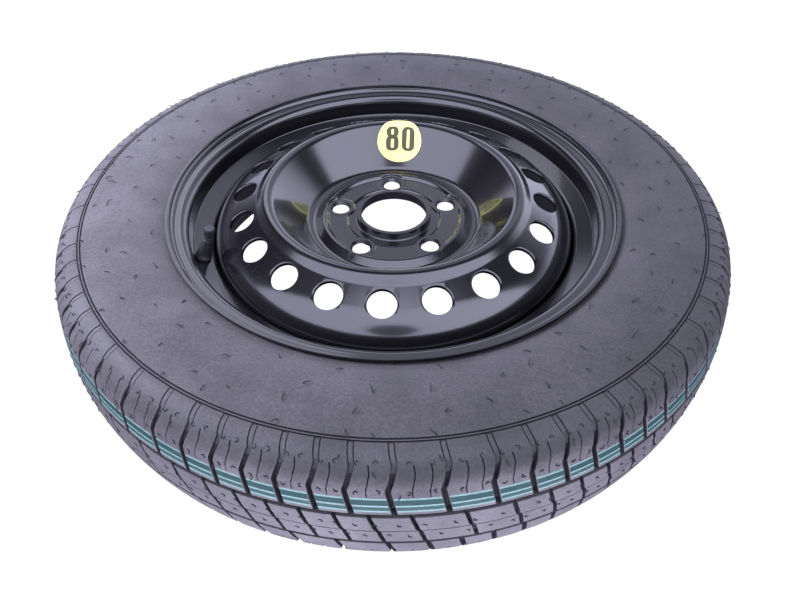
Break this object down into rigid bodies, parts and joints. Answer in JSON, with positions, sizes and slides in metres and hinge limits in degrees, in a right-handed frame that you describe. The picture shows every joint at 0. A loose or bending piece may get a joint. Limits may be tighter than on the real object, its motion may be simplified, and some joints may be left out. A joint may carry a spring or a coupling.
{
  "type": "space saver spare wheel",
  "caption": "Temporary spare wheel: narrow treaded tyre on a black welded steel disc wheel with round vent holes, a speed label and a snap-in valve.",
  "frame": {"origin": "on the spin axis at floor level, under the lower sidewall on which the wheel lies", "axes": "+Z along the spin axis towards the street face; +Y through the speed label side, three degrees from it"},
  "size_m": [0.6494, 0.6494, 0.132],
  "materials": {
    "tyre_rubber": "matte moulded rubber, faint lilac grey bloom",
    "black_paint": "gloss black dip paint on steel",
    "label_film": "pale yellow printed film",
    "valve_rubber": "matte black rubber",
    "brass": "turned brass",
    "spring_steel": "drawn steel wire",
    "cap_plastic": "moulded black plastic",
    "red_seal": "red seal rubber"
  },
  "bodies": {
    "wheel": {"tyre": "tyre_rubber", "wheel_rim": "black_paint", "wheel_disc": "black_paint", "weld_seams": "black_paint", "speed_sticker": "label_film", "valve_body": "valve_rubber", "valve_stem": "brass", "valve_core_plug": "brass", "valve_core_barrel": "brass", "valve_core_gasket": "red_seal"},
    "core_pin": {"valve_core_pin": "brass", "valve_core_seal": "valve_rubber", "valve_core_spring": "spring_steel"},
    "cap_lifter": {"valve_cap_seal": "red_seal"},
    "cap": {"valve_cap": "cap_plastic"}
  },
  "joints": [
    {"name": "cap_lift", "type": "slide", "parent": "wheel", "child": "cap_lifter", "axis": [0.352, 0.1281, 0.9272], "range_m": [0, 0.0095]},
    {"name": "cap_turn", "type": "hinge", "parent": "cap_lifter", "child": "cap", "pos_m": [-0.18105, -0.0659, 0.09274], "axis": [0.352, 0.1281, 0.9272], "range_deg": [0, 4320]},
    {"name": "core_pin_press", "type": "slide", "parent": "wheel", "child": "core_pin", "axis": [0.352, 0.1281, 0.9272], "range_m": [-0.0012, 0], "stiffness_N_per_m": 900, "springref_m": 0.001, "deforming": ["valve_core_spring"]}
  ],
  "couplings": [
    {"joint": "cap_turn", "follows": "cap_lift", "rad_per_m": 7915.8}
  ]
}
